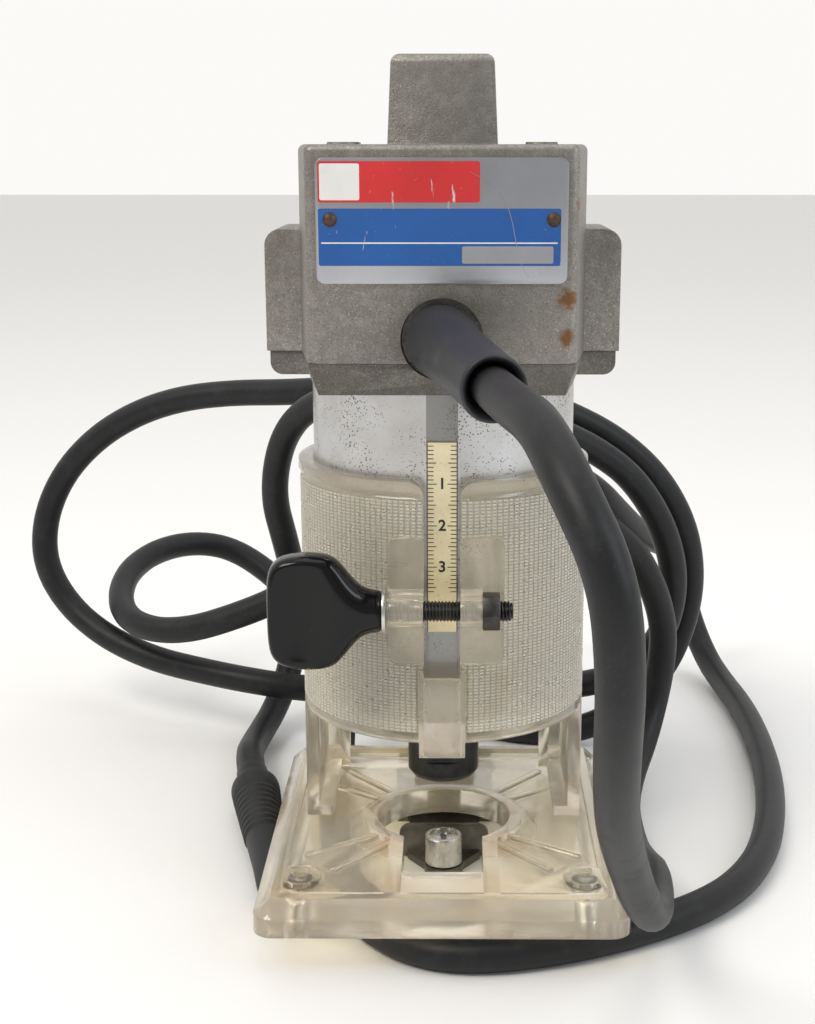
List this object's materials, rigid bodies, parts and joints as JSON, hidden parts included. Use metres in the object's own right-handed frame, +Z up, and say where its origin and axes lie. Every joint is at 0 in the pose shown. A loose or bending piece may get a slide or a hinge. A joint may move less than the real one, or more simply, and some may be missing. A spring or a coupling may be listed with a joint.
{
  "type": "trim router",
  "caption": "Handheld trim router: motor tube clamped in a clear height-adjustable base, collet spindle, cast head with power cord, and an edge guide with a roller under the sole.",
  "frame": {"origin": "on the spindle axis, at the surface that the edge guide's foot stands on", "axes": "+Z up along the spindle, -Y towards the nameplate side, where the cord leaves the head"},
  "size_m": [0.2476, 0.3353, 0.212],
  "materials": {
    "clear_plastic": "transparent yellowed polycarbonate, worn and stained",
    "motor_tube": "turned aluminium, scratched and pitted",
    "cast_aluminium": "rough grey casting",
    "nameplate_metal": "printed plate with worn colour fields",
    "scale": "scale label",
    "lamination": "stacked sheets",
    "copper_wire": "enamelled winding",
    "copper_bar": "turned copper",
    "bearing_steel": "ground",
    "zinc_steel": "zinc plated",
    "guide_steel": "dull pressed sheet",
    "shaft_steel": "ground",
    "blackened_steel": "blackened",
    "spring_steel": "wire",
    "chrome": "plated",
    "brass": "nickel plated blades",
    "carbon": "pressed graphite",
    "black_phenolic": "moulded",
    "fan_plastic": "moulded",
    "black_gloss_plastic": "moulded",
    "boot_rubber": "smooth, slightly grey",
    "cord_rubber": "matte",
    "plug_rubber": "matte, ribbed"
  },
  "bodies": {
    "motor": {"motor_housing": "motor_tube", "scale_strip": "scale", "stator_core": "lamination", "field_coils": "copper_wire", "lower_bearing": "bearing_steel", "upper_bearing": "bearing_steel", "bearing_retainer": "zinc_steel", "head_flange": "cast_aluminium", "head_cover": "cast_aluminium", "cover_screws": "zinc_steel", "nameplate": "nameplate_metal", "nameplate_rivets": "nameplate_metal", "brush_holders": "black_phenolic", "brush_caps": "black_phenolic", "brush_spring_left": "spring_steel", "brush_spring_right": "spring_steel", "switch_body": "black_phenolic", "switch_bushing": "chrome", "terminal_block": "black_phenolic", "cord_boot": "boot_rubber", "cord_1": "cord_rubber", "cord_2": "cord_rubber", "cord_3": "cord_rubber", "cord_4": "cord_rubber", "plug_body": "plug_rubber", "plug_blades": "brass"},
    "base": {"base_plate": "clear_plastic", "base_inserts": "zinc_steel", "base_collar": "clear_plastic", "clamp_nut": "zinc_steel", "clamp_washer": "zinc_steel", "guide_holder": "guide_steel"},
    "clamp": {"clamp_screw": "zinc_steel", "clamp_knob": "black_gloss_plastic"},
    "guide": {"guide_arm": "guide_steel", "guide_rivet": "guide_steel", "roller_pin": "zinc_steel"},
    "roller": {"guide_roller": "zinc_steel"},
    "thumb_screw": {"guide_thumb_screw": "black_gloss_plastic"},
    "rotor": {"motor_shaft": "shaft_steel", "armature_core": "lamination", "armature_windings": "copper_wire", "commutator": "copper_bar", "cooling_fan": "fan_plastic", "collet_cone": "shaft_steel"},
    "collet_nut": {"collet_nut": "blackened_steel"},
    "switch_lever": {"switch_lever": "chrome"},
    "brush_left": {"carbon_brush_left": "carbon"},
    "brush_right": {"carbon_brush_right": "carbon"}
  },
  "joints": [
    {"name": "depth_slide", "type": "slide", "parent": "motor", "child": "base", "axis": [0, 0, 1], "range_m": [0, 0.018]},
    {"name": "clamp_turn", "type": "hinge", "parent": "base", "child": "clamp", "pos_m": [0, -0.043, 0.0873], "axis": [-1, 0, 0], "range_deg": [0, 360]},
    {"name": "guide_slide", "type": "slide", "parent": "base", "child": "guide", "axis": [0, 1, 0], "range_m": [-0.004, 0.008]},
    {"name": "roller_spin", "type": "hinge", "parent": "guide", "child": "roller", "pos_m": [0, 0.004, 0.005], "axis": [0, 0, 1], "continuous": true},
    {"name": "thumb_screw_turn", "type": "hinge", "parent": "base", "child": "thumb_screw", "pos_m": [0, 0.068, 0.015], "axis": [0, 0, 1], "range_deg": [0, 360]},
    {"name": "spindle_spin", "type": "hinge", "parent": "motor", "child": "rotor", "pos_m": [0, 0, 0.1], "axis": [0, 0, 1], "continuous": true},
    {"name": "collet_nut_turn", "type": "hinge", "parent": "rotor", "child": "collet_nut", "pos_m": [0, 0, 0.04], "axis": [0, 0, 1], "range_deg": [0, 270]},
    {"name": "switch_toggle", "type": "hinge", "parent": "motor", "child": "switch_lever", "pos_m": [0, 0.0035, 0.2015], "axis": [1, 0, 0], "range_deg": [0, 12]},
    {"name": "brush_left_slide", "type": "slide", "parent": "motor", "child": "brush_left", "axis": [-1, 0, 0], "range_m": [0, 0.006], "stiffness_N_per_m": 120, "springref_m": -0.02, "deforming": ["brush_spring_left"]},
    {"name": "brush_right_slide", "type": "slide", "parent": "motor", "child": "brush_right", "axis": [1, 0, 0], "range_m": [0, 0.006], "stiffness_N_per_m": 120, "springref_m": -0.02, "deforming": ["brush_spring_right"]}
  ]
}
